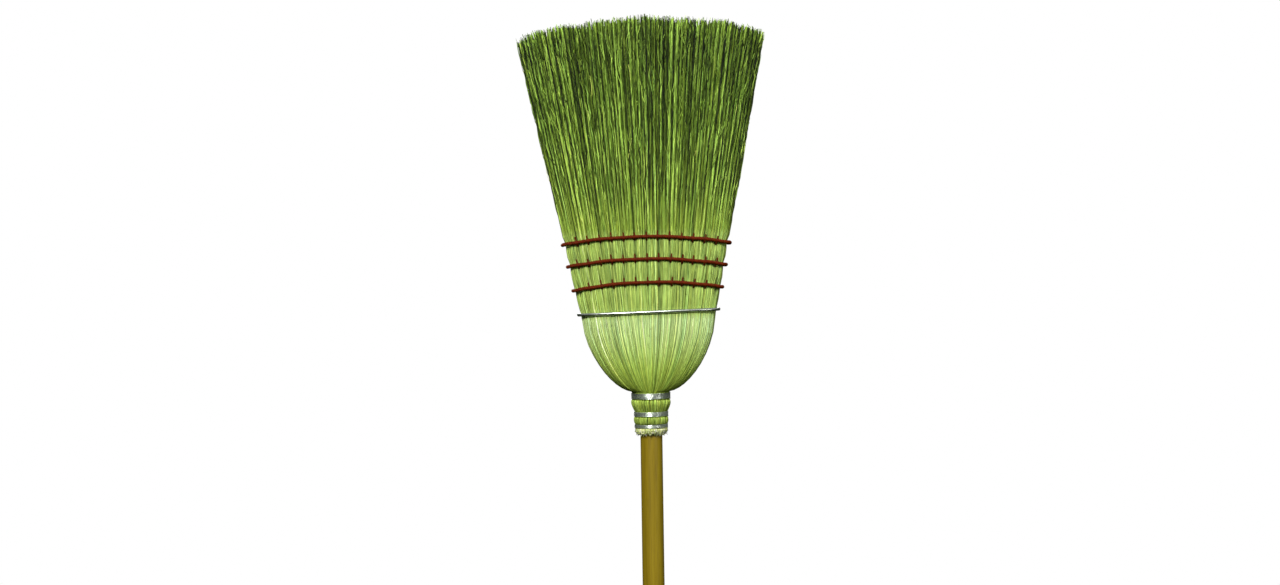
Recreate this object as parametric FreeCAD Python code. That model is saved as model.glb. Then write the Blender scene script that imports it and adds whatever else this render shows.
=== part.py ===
import FreeCAD, Part

import math
import os

# A corn broom: a lacquered wooden handle, bunches of broomcorn bound to it by wire,
# a wire hoop over the shoulders and three rows of stitching that flatten the head.
# Millimetres. Z runs along the handle, from its free end at z = 0 to the straw tips.
# X is the width of the head and Y its thickness, with the front towards -Y.

# --- Driving dimensions -------------------------------------------------------------

INCH = 25.4
OVERALL_LENGTH = 57 * INCH
HANDLE_LENGTH = 42 * INCH
HANDLE_RADIUS = 14.3        # 1-1/8 in handle
HANDLE_TOP_RADIUS = 11.0    # the handle tapers inside the head
END_FLAT_RADIUS = 6.0
END_ROUND_HEIGHT = 8.0
END_KNEE_OUT = 0.75         # where the end's rounding passes, as parts of its size
END_KNEE_UP = 0.33
HANDLE_TOP_CHAMFER = 2.0

BUTTS_Z = 904.0             # cut ends of the stalks, at the bottom of the neck
BUTTS_RADIUS = 21.4
BUTTS_ROUNDING = 4.5        # the stalks' ends are drawn in this much
SHOULDER_Z = 962.0          # where the head swells out of the neck
SHOULDER_RADIUS = 25.4
BOWL_TOP_Z = 1054.0         # where the round bowl turns into the straight flare
BOWL_HALF_WIDTH = 85.8
BOWL_ROUNDNESS = 1.6        # exponent of the bowl's rounded outline
FLARE = 0.20                # half-width gained per millimetre above the bowl
TIP_ARCH = 16.0             # the corners of the tip line are this much lower
LEAN = 0.016                # sideways drift of the head per millimetre of height

BOWL_HALF_THICKNESS = 31.0
STITCH_HALF_THICKNESS = 26.0
TIP_HALF_THICKNESS = 42.5
THICKEST_BOWL_Z = 1015.0
FLATTEST_Z = 1133.0
SQUARENESS = 0.5            # added to the ellipse exponent of 2 in the flare

WIRE = 1.37                 # 17 gauge binding wire
WIRE_PITCH = 1.52
WIRE_CLEARANCE = 0.15
# Wire bands on the neck: name, lowest point, turns, outer radius, swell of the corn above.
NECK_BANDS = (
    ("neck_wire_lower", 913.7, 3, 21.9, 0.6),
    ("neck_wire_middle", 928.5, 4, 22.5, 1.3),
    ("neck_wire_upper", 951.2, 5, 25.6, 0.0),
)
BAND_EDGE = 0.2             # height over which the corn dips under a band
BAND_SHOULDER = 1.0
SWELL_LEVELS = (0.12, 0.35, 0.60, 0.85)
INNER_WIRE_Z = 941.0
INNER_WIRE_TURNS = 5
INNER_LAYER_Z = 926.0       # butts of the inner corn, hidden by the cover
INNER_LAYER_RADIUS = 18.2
INNER_LAYER_STEP = 2.0      # the cover closes in on the handle this far below them
INNER_WIRE_SEAT = 0.1       # the inner wire stands this far off the inner corn
COVER_BORE_RADIUS = 20.0

HOOP_Z = 1064.5
HOOP_WIRE = 4.2
HOOP_GAP = 0.3
HOOP_TILT = 0.028           # the hoop sits a little lower on its left
HOOP_SLACK = 1.4            # gap at the two narrow ends of the hoop
SLACK_POWER = 8             # how suddenly a loop stands off at its narrow ends

# Stitch rows: name, height at the middle, tilt.
STITCH_ROWS = (
    ("stitch_twine_lower", 1103.5, 0.012),
    ("stitch_twine_middle", 1133.5, 0.0),
    ("stitch_twine_upper", 1162.0, 0.0),
)
ROW_ARCH = 8.5              # each row's ends are this much lower than its middle
TWINE = 4.0
TWINE_GAP = 0.25
TWINE_SLACK = 0.6
STITCH_SPACING = 15.0
STITCH_TWINE = 2.0
STITCH_REACH_UP = 5.5
STITCH_REACH_DOWN = 3.8
STITCH_BITE = 0.6           # a stitch sinks this far into the strand under it
STITCH_FAN_Z = 842.0        # the stitches lean as if they fanned out from this height

SPLAY_Z = 1180.0            # the corn is loose above the upper stitches
TUFTS_PER_BUNCH = 3
TUFT_LEVELS = 4
TUFT_OVERLAP = 0.5
TIP_SHRINK = 0.62           # a tuft's size at its tip against its root
BUNCH_GAP = 0.30            # clearance between neighbouring bunches
INNER_FRACTION = 0.70       # boundary between the inner bunches and the cover
HANDLE_CLEARANCE = 0.25
ROOT_SHRINK = 0.97          # a tuft's root is this much slimmer than its share
CLOSED_Z = 1100.0           # the corn has closed over the handle's end here
CLOSED_FRACTION = 0.10
OPEN_FRACTION = 0.32        # the loose inside corn stands apart at the tips

NAIL_RADIUS = 0.9
NAIL_LENGTH = 16.0
NAIL_HEAD_RADIUS = 2.3
NAIL_HEAD_HEIGHT = 0.7
NAIL_POINT_RADIUS = 0.2
NAIL_POINT_LENGTH = 2.7
NAIL_HOLE_CLEARANCE = 0.08
START_NAIL_Z = 934.5
START_NAIL_SINK = 1.0       # its head stands this far off the handle
END_NAIL_Z = 924.2
END_NAIL_SINK = 0.1
TOUCHING = 1e-6

ARC_POINTS = 7
BOWL_LEVELS = 9
BOWL_LEVEL_POWER = 1.8      # levels lie closer together where the outline turns quickly
FLARE_LEVELS = 9
RING_STATIONS = 72
COIL_STATIONS = 36          # straight steps in one turn of wire


# --- The head's outline -------------------------------------------------------------

def blend(low, high, fraction):
    """Smooth step from low to high."""
    fraction = max(0.0, min(1.0, fraction))
    return low + (high - low) * fraction * fraction * (3 - 2 * fraction)


def between(points, z):
    """Straight-line value at z of a list of (z, value) points."""
    if z <= points[0][0]:
        return points[0][1]
    for (low_z, low), (high_z, high) in zip(points, points[1:]):
        if z <= high_z:
            return low + (high - low) * (z - low_z) / (high_z - low_z)
    return points[-1][1]


def neck_points():
    """Profile of the neck: drawn in under each wire band, and flush or fuller between."""
    points = [
        (BUTTS_Z, BUTTS_RADIUS - BUTTS_ROUNDING),
        (BUTTS_Z + BUTTS_ROUNDING / 2, BUTTS_RADIUS - BUTTS_ROUNDING / 4),
        (BUTTS_Z + BUTTS_ROUNDING, BUTTS_RADIUS),
        (NECK_BANDS[0][1] - BAND_SHOULDER, BUTTS_RADIUS),
    ]
    for i, (_, low, turns, radius, swell) in enumerate(NECK_BANDS):
        under = radius - WIRE - WIRE_CLEARANCE
        top = low + turns * WIRE_PITCH + WIRE
        points.append((low - BAND_EDGE, under))
        points.append((top + BAND_EDGE, under))
        if i + 1 < len(NECK_BANDS):
            next_low = NECK_BANDS[i + 1][1]
            next_radius = NECK_BANDS[i + 1][3]
            for climb in SWELL_LEVELS:
                flush = radius + (next_radius - radius) * climb
                fullness = swell * math.sin(math.pi * climb)
                points.append((top + (next_low - top) * climb, flush + fullness))
    return points + [(SHOULDER_Z, SHOULDER_RADIUS)]


NECK = neck_points()


def half_width(z):
    """Half of the head's width at height z."""
    if z <= SHOULDER_Z:
        return between(NECK, z)
    if z < BOWL_TOP_Z:
        drop = (BOWL_TOP_Z - z) / (BOWL_TOP_Z - SHOULDER_Z)
        swell = (1 - drop ** BOWL_ROUNDNESS) ** (1 / BOWL_ROUNDNESS)
        return SHOULDER_RADIUS + (BOWL_HALF_WIDTH - SHOULDER_RADIUS) * swell
    return BOWL_HALF_WIDTH + FLARE * (z - BOWL_TOP_Z)


def half_thickness(z):
    """Half of the head's thickness at height z."""
    if z <= SHOULDER_Z:
        return between(NECK, z)
    if z < THICKEST_BOWL_Z:
        climb = (z - SHOULDER_Z) / (THICKEST_BOWL_Z - SHOULDER_Z)
        return SHOULDER_RADIUS + (BOWL_HALF_THICKNESS - SHOULDER_RADIUS) * math.sin(climb * math.pi / 2)
    if z < FLATTEST_Z:
        climb = (z - THICKEST_BOWL_Z) / (FLATTEST_Z - THICKEST_BOWL_Z)
        return blend(BOWL_HALF_THICKNESS, STITCH_HALF_THICKNESS, climb)
    climb = (z - FLATTEST_Z) / (OVERALL_LENGTH - FLATTEST_Z)
    return STITCH_HALF_THICKNESS + (TIP_HALF_THICKNESS - STITCH_HALF_THICKNESS) * climb ** 1.3


def exponent(z):
    """2 is an ellipse; the flare is a little squarer."""
    return 2 + SQUARENESS * max(0.0, min(1.0, (z - SHOULDER_Z) / (BOWL_TOP_Z - SHOULDER_Z)))


def centre_x(z):
    """The head leans slightly to the left of the handle's axis."""
    return -LEAN * max(0.0, z - SHOULDER_Z)


def tip_z(x):
    """Height of the trimmed tips at a distance x from the middle of the fan."""
    return OVERALL_LENGTH - TIP_ARCH * (x / half_width(OVERALL_LENGTH - TIP_ARCH)) ** 2


def handle_radius(z):
    """Radius of the handle where it runs inside the head."""
    taper = (z - BUTTS_Z) / (HANDLE_LENGTH - BUTTS_Z)
    return HANDLE_RADIUS + (HANDLE_TOP_RADIUS - HANDLE_RADIUS) * max(0.0, min(1.0, taper))


def oval_point(oval, angle):
    """Point of a rounded oval, given as half-axes, exponent and middle."""
    wide, thick, power, middle = oval
    c = math.cos(math.radians(angle))
    s = math.sin(math.radians(angle))
    x = math.copysign(abs(c) ** (2 / power), c) * wide
    y = math.copysign(abs(s) ** (2 / power), s) * thick
    return middle + x, y


# --- The layers' boundaries ---------------------------------------------------------

def outer_face(z):
    """Outside of the cover bunches."""
    return half_width(z), half_thickness(z), exponent(z), centre_x(z)


def inner_layer_face(z):
    """Outside of the inner bunches."""
    if z <= SHOULDER_Z:
        return INNER_LAYER_RADIUS, INNER_LAYER_RADIUS, 2, 0
    grown = min(1.0, (z - SHOULDER_Z) / (BOWL_TOP_Z - SHOULDER_Z))
    fraction = blend(INNER_LAYER_RADIUS / SHOULDER_RADIUS, INNER_FRACTION, grown)
    return fraction * half_width(z), fraction * half_thickness(z), exponent(z), centre_x(z)


def cover_bore_face(z):
    """Inside of the cover bunches, clear of the inner bunches and their wire."""
    if z <= INNER_LAYER_Z - INNER_LAYER_STEP:
        bore = handle_radius(z) + HANDLE_CLEARANCE
        return bore, bore, 2, 0
    if z <= SHOULDER_Z:
        bore = COVER_BORE_RADIUS if z > INNER_LAYER_Z else INNER_LAYER_RADIUS + BUNCH_GAP
        return bore, bore, 2, 0
    wide, thick, power, middle = inner_layer_face(z)
    step = COVER_BORE_RADIUS - INNER_LAYER_RADIUS
    gap = blend(step, BUNCH_GAP, (z - SHOULDER_Z) / (THICKEST_BOWL_Z - SHOULDER_Z))
    return wide + gap, thick + gap, power, middle


def handle_face(z):
    """Inside of the inner bunches: round the handle, then nearly closed above it."""
    bore = handle_radius(z) + HANDLE_CLEARANCE
    if z <= HANDLE_LENGTH + 1:
        return bore, bore, 2, 0
    closing = (z - HANDLE_LENGTH) / (CLOSED_Z - HANDLE_LENGTH)
    opening = max(0.0, (z - CLOSED_Z) / (OVERALL_LENGTH - CLOSED_Z))
    fraction = CLOSED_FRACTION + (OPEN_FRACTION - CLOSED_FRACTION) * opening
    wide = blend(bore, fraction * half_width(z), closing)
    thick = blend(bore, fraction * half_thickness(z), closing)
    return wide, thick, 2, blend(0, centre_x(z), closing)


# --- Bunches of corn ----------------------------------------------------------------

def inset(start, end):
    """Two points moved towards each other by half of the gap between bunches."""
    dx = end[0] - start[0]
    dy = end[1] - start[1]
    length = math.hypot(dx, dy)
    step = BUNCH_GAP / 2 / length
    return (start[0] + dx * step, start[1] + dy * step), (end[0] - dx * step, end[1] - dy * step)


def section(z, inner, outer, first, last, shrink=1.0, thin=1.0):
    """Closed wire at height z between two ovals and two angles in degrees.

    It is shrunk about its middle and thinned towards the middle of its outer edge.
    """
    angles = [first + (last - first) * i / (ARC_POINTS - 1) for i in range(ARC_POINTS)]
    outside = [oval_point(outer, a) for a in angles]
    inside = [oval_point(inner, a) for a in reversed(angles)]
    outside[0], outside[-1] = inset(outside[0], outside[-1])
    inside[0], inside[-1] = inset(inside[0], inside[-1])
    corners = (outside[0], outside[-1], inside[0], inside[-1])
    mid_x = sum(p[0] for p in corners) / 4
    mid_y = sum(p[1] for p in corners) / 4
    rim_x, rim_y = outside[ARC_POINTS // 2]

    def place(point):
        x = mid_x + (point[0] - mid_x) * shrink
        y = mid_y + (point[1] - mid_y) * shrink
        x = rim_x + (x - rim_x) * thin
        y = rim_y + (y - rim_y) * thin
        return FreeCAD.Vector(x, y, z)

    edges = []
    for row in (outside, inside):
        curve = Part.BSplineCurve()
        curve.interpolate([place(p) for p in row])
        edges.append(curve.toShape())
    edges.insert(1, Part.makeLine(place(outside[-1]), place(inside[0])))
    edges.append(Part.makeLine(place(inside[-1]), place(outside[0])))
    return Part.Wire(edges)


def heights(bottom):
    """Levels of a bunch's lower part: every bend of the neck, then even steps."""
    levels = [bottom] + [z for z, radius in NECK if z > bottom + 0.5]
    for extra in (INNER_LAYER_Z - INNER_LAYER_STEP, INNER_LAYER_Z, INNER_LAYER_Z + 0.1):
        if extra > bottom + 0.5:
            levels.append(extra)
    for i in range(1, BOWL_LEVELS + 1):
        fraction = (i / BOWL_LEVELS) ** BOWL_LEVEL_POWER
        levels.append(SHOULDER_Z + (BOWL_TOP_Z - SHOULDER_Z) * fraction)
    for i in range(1, FLARE_LEVELS + 1):
        levels.append(BOWL_TOP_Z + (SPLAY_Z - BOWL_TOP_Z) * i / FLARE_LEVELS)
    return sorted(set(levels))


def bunch(bottom, inner, outer, first, last):
    """One bunch of corn: a bound root and three loose tufts that thin out to the tips."""
    rings = [section(z, inner(z), outer(z), first, last) for z in heights(bottom)]
    body = Part.makeLoft(rings, True, True)
    step = (last - first) / TUFTS_PER_BUNCH
    for i in range(TUFTS_PER_BUNCH):
        low = first + i * step
        middle = oval_point(outer(SPLAY_Z), low + step / 2)
        ratio = half_width(OVERALL_LENGTH) / half_width(SPLAY_Z)
        top = tip_z((middle[0] - centre_x(SPLAY_Z)) * ratio)
        root = SPLAY_Z - TUFT_OVERLAP
        rows = []
        for k in range(TUFT_LEVELS):
            climb = k / (TUFT_LEVELS - 1)
            z = root + (top - root) * climb
            thin = 1 + (TIP_SHRINK - 1) * climb
            rows.append(section(z, inner(z), outer(z), low, low + step, ROOT_SHRINK, thin))
        body = body.fuse(Part.makeLoft(rows, True, True))
    return body.removeSplitter()


def inner_bunches():
    """Inside corn at front and back of the handle, and shoulder corn at its sides."""
    sectors = {
        "inside_corn_back": (50, 130),
        "shoulder_corn_left": (130, 230),
        "inside_corn_front": (230, 310),
        "shoulder_corn_right": (-50, 50),
    }
    return {
        name: bunch(INNER_LAYER_Z, handle_face, inner_layer_face, first, last)
        for name, (first, last) in sectors.items()
    }


def cover_bunches():
    """The long outer corn that shows, three bunches on each side."""
    names = (
        "cover_corn_back_right", "cover_corn_back_centre", "cover_corn_back_left",
        "cover_corn_front_left", "cover_corn_front_centre", "cover_corn_front_right",
    )
    return {
        name: bunch(BUTTS_Z, cover_bore_face, outer_face, 60 * i, 60 * (i + 1))
        for i, name in enumerate(names)
    }


# --- Handle and nails ---------------------------------------------------------------

def handle():
    """Turned wooden handle with a rounded end and a taper inside the head."""
    start = FreeCAD.Vector(0, 0, 0)
    flat = FreeCAD.Vector(END_FLAT_RADIUS, 0, 0)
    drop = HANDLE_RADIUS - END_FLAT_RADIUS
    knee = FreeCAD.Vector(END_FLAT_RADIUS + drop * END_KNEE_OUT, 0, END_ROUND_HEIGHT * END_KNEE_UP)
    side = FreeCAD.Vector(HANDLE_RADIUS, 0, END_ROUND_HEIGHT)
    shoulder = FreeCAD.Vector(HANDLE_RADIUS, 0, BUTTS_Z)
    chamfer = FreeCAD.Vector(HANDLE_TOP_RADIUS, 0, HANDLE_LENGTH - HANDLE_TOP_CHAMFER)
    top = FreeCAD.Vector(HANDLE_TOP_RADIUS - HANDLE_TOP_CHAMFER, 0, HANDLE_LENGTH)
    end = FreeCAD.Vector(0, 0, HANDLE_LENGTH)
    edges = [
        Part.makeLine(start, flat),
        Part.Arc(flat, knee, side).toShape(),
        Part.makeLine(side, shoulder),
        Part.makeLine(shoulder, chamfer),
        Part.makeLine(chamfer, top),
        Part.makeLine(top, end),
        Part.makeLine(end, start),
    ]
    profile = Part.Face(Part.Wire(edges))
    return profile.revolve(FreeCAD.Vector(0, 0, 0), FreeCAD.Vector(0, 0, 1), 360)


def nail(z, seat, extra=0.0):
    """A nail driven along -Y from the back, its head resting at distance seat."""
    inward = FreeCAD.Vector(0, -1, 0)
    head_at = FreeCAD.Vector(0, seat + NAIL_HEAD_HEIGHT, z)
    head = Part.makeCylinder(NAIL_HEAD_RADIUS + extra, NAIL_HEAD_HEIGHT, head_at, inward)
    shank_at = FreeCAD.Vector(0, seat + NAIL_HEAD_HEIGHT / 2, z)
    shank = Part.makeCylinder(NAIL_RADIUS + extra, NAIL_LENGTH, shank_at, inward)
    point_at = shank_at + inward * NAIL_LENGTH
    point = Part.makeCone(NAIL_RADIUS + extra, NAIL_POINT_RADIUS, NAIL_POINT_LENGTH, point_at, inward)
    return head.fuse([shank, point]).removeSplitter()


# --- Wire and twine -----------------------------------------------------------------

def coil(low, turns, outer_radius):
    """Close-wound wire round the neck, from its lowest point upwards."""
    radius = outer_radius - WIRE / 2
    points = []
    for i in range(turns * COIL_STATIONS + 1):
        angle = 2 * math.pi * i / COIL_STATIONS
        z = low + WIRE / 2 + WIRE_PITCH * i / COIL_STATIONS
        points.append(FreeCAD.Vector(radius * math.cos(angle), radius * math.sin(angle), z))
    return tube(stations(points, WIRE / 2, False))


def loop_points(height, clearance, end_slack):
    """Points of a closed loop that lies on the head; height is a function of x."""
    points = []
    for i in range(RING_STATIONS):
        angle = 360 * i / RING_STATIONS
        z = height(0.0)
        for _ in range(3):
            wide, thick, power, middle = outer_face(z)
            x, y = oval_point((wide + clearance, thick + clearance, power, 0), angle)
            z = height(x)
        slack = end_slack * (abs(x) / wide) ** SLACK_POWER
        points.append(FreeCAD.Vector(x + math.copysign(slack, x) + middle, y, z))
    return points


def stations(points, radius, closed):
    """Circles across a line of points, each starting at its highest point."""
    rings = []
    count = len(points)
    for i, point in enumerate(points):
        ahead = points[(i + 1) % count] if closed or i + 1 < count else point
        behind = points[i - 1] if closed or i > 0 else point
        along = ahead - behind
        circle = Part.Circle(point, along, radius)
        across = along.cross(FreeCAD.Vector(0, 0, 1))
        circle.XAxis = across.cross(along).normalize()
        rings.append(Part.Wire(circle.toShape()))
    return rings


def tube(rings):
    """A round tube through circles."""
    return Part.makeLoft(rings, True, True)


def closed_tube(points, radius):
    """A round tube along a closed loop of points, made as two halves."""
    rings = stations(points, radius, True)
    half = len(rings) // 2
    return tube(rings[:half + 1]).fuse(tube(rings[half:] + rings[:1]))


def hoop():
    """The wire hoop that keeps the shoulders together."""
    points = loop_points(lambda x: HOOP_Z + HOOP_TILT * x, HOOP_WIRE / 2 + HOOP_GAP, HOOP_SLACK)
    return closed_tube(points, HOOP_WIRE / 2)


def stitch(x, z, side):
    """One stitch: a bow of twine over the row's strand, following the straws."""
    surface = half_thickness(z) * (1 - abs(x / half_width(z)) ** exponent(z)) ** (1 / exponent(z))
    offset = centre_x(z)
    spread = x / (z - STITCH_FAN_Z)
    rest = surface + STITCH_TWINE / 2 + TWINE_GAP
    crown = surface + TWINE + STITCH_TWINE / 2 - STITCH_BITE
    low = FreeCAD.Vector(x + offset - spread * STITCH_REACH_DOWN, side * rest, z - STITCH_REACH_DOWN)
    mid = FreeCAD.Vector(x + offset, side * crown, z)
    high = FreeCAD.Vector(x + offset + spread * STITCH_REACH_UP, side * rest, z + STITCH_REACH_UP)
    arc = Part.Arc(low, mid, high)
    edge = arc.toShape()
    along = edge.tangentAt(edge.FirstParameter)
    ring = Part.Wire(Part.makeCircle(STITCH_TWINE / 2, low, along))
    return Part.Wire(edge).makePipeShell([ring], True, True)


def stitch_row(middle, tilt):
    """A strand of twine round the head, with stitches over it on both faces."""
    def height(x):
        return middle - ROW_ARCH * (x / half_width(middle)) ** 2 + tilt * x
    body = closed_tube(loop_points(height, TWINE / 2 + TWINE_GAP, TWINE_SLACK), TWINE / 2)
    count = round(half_width(middle) / STITCH_SPACING) - 1
    bows = []
    for side in (-1, 1):
        for i in range(-count, count + 1):
            x = i * STITCH_SPACING
            bows.append(stitch(x, height(x), side))
    return body.fuse(bows)


# --- Assembly -----------------------------------------------------------------------

def build():
    """Every piece of the broom by name."""
    pieces = {"handle": handle()}
    pieces.update(inner_bunches())
    pieces.update(cover_bunches())
    for name, low, turns, radius, _ in NECK_BANDS:
        pieces[name] = coil(low, turns, radius)
    inner_wire_radius = INNER_LAYER_RADIUS + INNER_WIRE_SEAT + WIRE
    pieces["inner_binding_wire"] = coil(INNER_WIRE_Z, INNER_WIRE_TURNS, inner_wire_radius)
    pieces["wire_hoop"] = hoop()
    for name, middle, tilt in STITCH_ROWS:
        pieces[name] = stitch_row(middle, tilt)

    nail_places = (
        (START_NAIL_Z, handle_radius(START_NAIL_Z) + HANDLE_CLEARANCE + START_NAIL_SINK),
        (END_NAIL_Z, half_thickness(END_NAIL_Z) + END_NAIL_SINK),
    )
    nails = [nail(z, seat) for z, seat in nail_places]
    pieces["wire_nails"] = Part.makeCompound(nails)
    for z, seat in nail_places:
        hole = nail(z, seat, NAIL_HOLE_CLEARANCE)
        for name in ("handle", "inside_corn_back", "cover_corn_back_centre"):
            if pieces[name].distToShape(hole)[0] < TOUCHING:
                pieces[name] = pieces[name].cut(hole)
    return pieces


def save(pieces):
    """Write one STEP file per piece."""
    os.makedirs("parts", exist_ok=True)
    for name, shape in pieces.items():
        shape.exportStep(os.path.join("parts", name + ".step"))
        box = shape.BoundBox
        print("%-26s solids %d valid %s volume %9.0f  x %7.1f %7.1f  y %6.1f %6.1f  z %7.1f %7.1f" % (
            name, len(shape.Solids), shape.isValid(), shape.Volume,
            box.XMin, box.XMax, box.YMin, box.YMax, box.ZMin, box.ZMax))


save(build())
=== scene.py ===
import math

import bpy
import numpy as np
from mathutils import Matrix, Vector


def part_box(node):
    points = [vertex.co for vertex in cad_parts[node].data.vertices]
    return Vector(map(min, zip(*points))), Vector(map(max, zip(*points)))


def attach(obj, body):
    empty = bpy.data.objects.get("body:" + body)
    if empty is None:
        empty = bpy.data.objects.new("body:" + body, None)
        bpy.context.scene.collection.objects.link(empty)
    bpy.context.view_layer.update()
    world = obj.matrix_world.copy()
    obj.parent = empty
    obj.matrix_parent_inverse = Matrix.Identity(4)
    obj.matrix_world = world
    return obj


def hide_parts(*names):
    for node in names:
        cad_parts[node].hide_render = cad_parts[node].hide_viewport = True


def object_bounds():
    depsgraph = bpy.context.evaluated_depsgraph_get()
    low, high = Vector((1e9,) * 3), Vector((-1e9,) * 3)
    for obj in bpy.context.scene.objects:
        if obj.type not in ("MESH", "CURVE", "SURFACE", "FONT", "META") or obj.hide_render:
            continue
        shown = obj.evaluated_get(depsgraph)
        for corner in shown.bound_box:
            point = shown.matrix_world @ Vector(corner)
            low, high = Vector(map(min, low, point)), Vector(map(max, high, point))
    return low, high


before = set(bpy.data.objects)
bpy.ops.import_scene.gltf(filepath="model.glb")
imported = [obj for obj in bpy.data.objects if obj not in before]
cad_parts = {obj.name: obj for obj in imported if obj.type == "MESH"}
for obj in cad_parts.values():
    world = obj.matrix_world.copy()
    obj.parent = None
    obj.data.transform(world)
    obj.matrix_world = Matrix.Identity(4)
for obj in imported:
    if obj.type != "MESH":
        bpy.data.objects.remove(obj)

# A corn broom, straw up. Metres, in the CAD model's frame: Z along the handle, X the
# head's width, Y its thickness, front towards -Y. Every straw is a thin tube of its own,
# and the tubes of one bunch are joined in one mesh.

CAD_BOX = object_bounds()
SEED = 20609
MM = 0.001

# --- Heights and sizes, from the frame ------------------------------------------------

TIPS_Z = CAD_BOX[1].z
BUTTS_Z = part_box("cover_corn_front_centre")[0].z
BANDS = [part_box(name) for name in ("neck_wire_lower", "neck_wire_middle", "neck_wire_upper")]
SHOULDER_Z = BANDS[2][1].z + 1.8 * MM
HOOP_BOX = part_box("wire_hoop")
HOOP_Z = (HOOP_BOX[0].z + HOOP_BOX[1].z) / 2
BOWL_TOP_Z = HOOP_Z - 10.5 * MM
ROW_NAMES = ("stitch_twine_lower", "stitch_twine_middle", "stitch_twine_upper")
ROW_BOXES = [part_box(name) for name in ROW_NAMES]

NECK_RADIUS = 25.4 * MM             # where the head swells out of the neck
BOWL_HALF_WIDTH = 85.8 * MM
BOWL_HALF_THICKNESS = 31 * MM
STITCH_HALF_THICKNESS = 26 * MM
TIP_HALF_THICKNESS = CAD_BOX[1].y
THICKEST_Z = 1.015
FLATTEST_Z = 1.133
BOWL_ROUNDNESS = 1.6                # exponent of the bowl's rounded outline
FLARE = 0.20                        # half-width gained per metre of height above the bowl
LEAN = 0.016                        # sideways drift per metre of height
SQUARENESS = 0.5                    # added to the ellipse exponent of 2 in the flare
BAND_SEAT = 1.6 * MM                # the corn under a wire band lies this far inside it
BULGES = (0.9 * MM, 1.6 * MM)       # how far the neck swells between its wire bands
BULGE_LIFT = (1.0, 1.5)             # above 1, the bulge is fullest above its middle
BUTTS_RADIUS = 20.8 * MM
BUTTS_HEIGHTS = (0.0, 2.5 * MM, 5.5 * MM, 9 * MM)
BUTTS_ROUNDING = (0.72, 0.86, 0.96, 1.0)

TRIM = 9 * MM                       # the straws end this far below the CAD tufts
TRIM_ARCH = 20 * MM
TRIM_SHIFT = 17 * MM                # the arch of the tips peaks this far to the right
TRIM_POWER = 1.6
# Waves of the trimmed tips: height in millimetres, length over 2 pi, phase.
TRIM_WAVES = ((1.0, 2.9 * MM, 0), (1.2, 7.3 * MM, 1), (1.0, 17 * MM, 2), (1.1, 0.57 * MM, 0))
EVEN_Z = 1.30                       # where the straws are evenly spread round the outline
HOME_Z = 1.35                       # where locks and streaks have the width they are given
SPREAD_Z = 1.40                     # a straw's place across the fan here sets where it ends
DARKEST_Z = 1.30                    # from here up the sweep is nearly as dark as its tips
CORE_TOP_Z = 1.30

# How a straw's width and the core's size change with height: heights, parts of full size.
COVER_FOOT_Z = SHOULDER_Z - 7 * MM
COVER_TAPER = ((COVER_FOOT_Z, 0.985, 1.03, 1.16, 1.30, TIPS_Z), (0.5, 0.7, 1, 0.95, 0.7, 0.35))
SWEEP_TAPER = ((1.05, 1.20, 1.33, TIPS_Z), (0.8, 0.95, 0.9, 0.6))
CORE_TAPER = ((BUTTS_Z, 0.96, 1.16, 1.24, CORE_TOP_Z), (0.86, 0.9, 0.9, 0.72, 0.3))

ROW_ARCH = 8.5 * MM
ROW_REACH_UP = 6.9 * MM             # a row's box reaches this far above its middle
ROW_Z = [box[1].z - ROW_REACH_UP for box in ROW_BOXES]
ROW_TILT = (0.012, 0.0, 0.0)
STITCH_SPACING = 15 * MM
PINCH_DEPTH = 2.3 * MM              # how far a row pulls the head's surface in
PINCH_REACH = 6 * MM                # and how far above and below it that is felt
GATHER_REACH = 11 * MM              # reach of the sideways gathering between stitches
HOOP_PINCH = 1.0 * MM
HOOP_REACH = 7 * MM
CREASE_DEPTH = 1.3 * MM
# How far a stitch's crease reaches, in millimetres: the least, and how much more it may be.
CREASE_UP = ((6, 14), (6, 14), (6, 34))
CREASE_DOWN = (5, 9)
TWINE_PLY_RADIUS = 1.25 * MM
TWINE_PITCH = 9 * MM
STITCH_RADIUS = 1.0 * MM
STITCH_UP = 6.2 * MM                # a stitch's ends above and below its row
STITCH_DOWN = 4.8 * MM
STITCH_LIFT = 5.0 * MM              # height of a stitch over the straw at its middle
STITCH_SINK = 0.4 * MM
FAN_START = 0.12                    # the straws fan out from this far below the shoulder
HOOP_TILT = 0.028
HOOP_WIRE_RADIUS = 2.1 * MM
NECK_WIRE_RADIUS = 0.685 * MM
NECK_WIRE_PITCH = 1.52 * MM

LOCK_SIZE = 1.0 * MM                # how far the locks draw the tips sideways
LOCKS = ((17 * MM, 0.5), (9.5 * MM, 0.5), (5.3 * MM, 0.38), (3.1 * MM, 0.22))   # width, part
STRAY = 2 * MM                      # how far a straw may stand out from the head's outline
STREAK = 1.7 * MM                   # width of the light and dark streaks of the sweep
STREAK_LENGTH = 120 * MM

CAMERA_DISTANCE = 1.85
CAMERA_X = -12.1 * MM
CAMERA_Z = 1.0899
CAMERA_ROLL = math.radians(0.85)
FRAME_WIDTH = 1.664                 # metres across the picture at the broom
SENSOR_WIDTH = 36.0
LIGHT_TARGET = (0, 0, 1.15)
# Lights: name, place, side of the square in metres, power in watts.
LIGHTS = (
    ("key", (-0.62, -2.9, 3.0), 0.95, 179),
    ("fill", (1.9, -1.75, 1.5), 0.4, 13),
    ("back", (-0.5, 2.8, 2.8), 0.95, 140),
)
FLOOR_RADIUS = 1.6


def rng_for(number):
    """A seeded random generator of its own for each piece."""
    return np.random.default_rng(SEED + number)


# --- The head's outline ---------------------------------------------------------------

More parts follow.
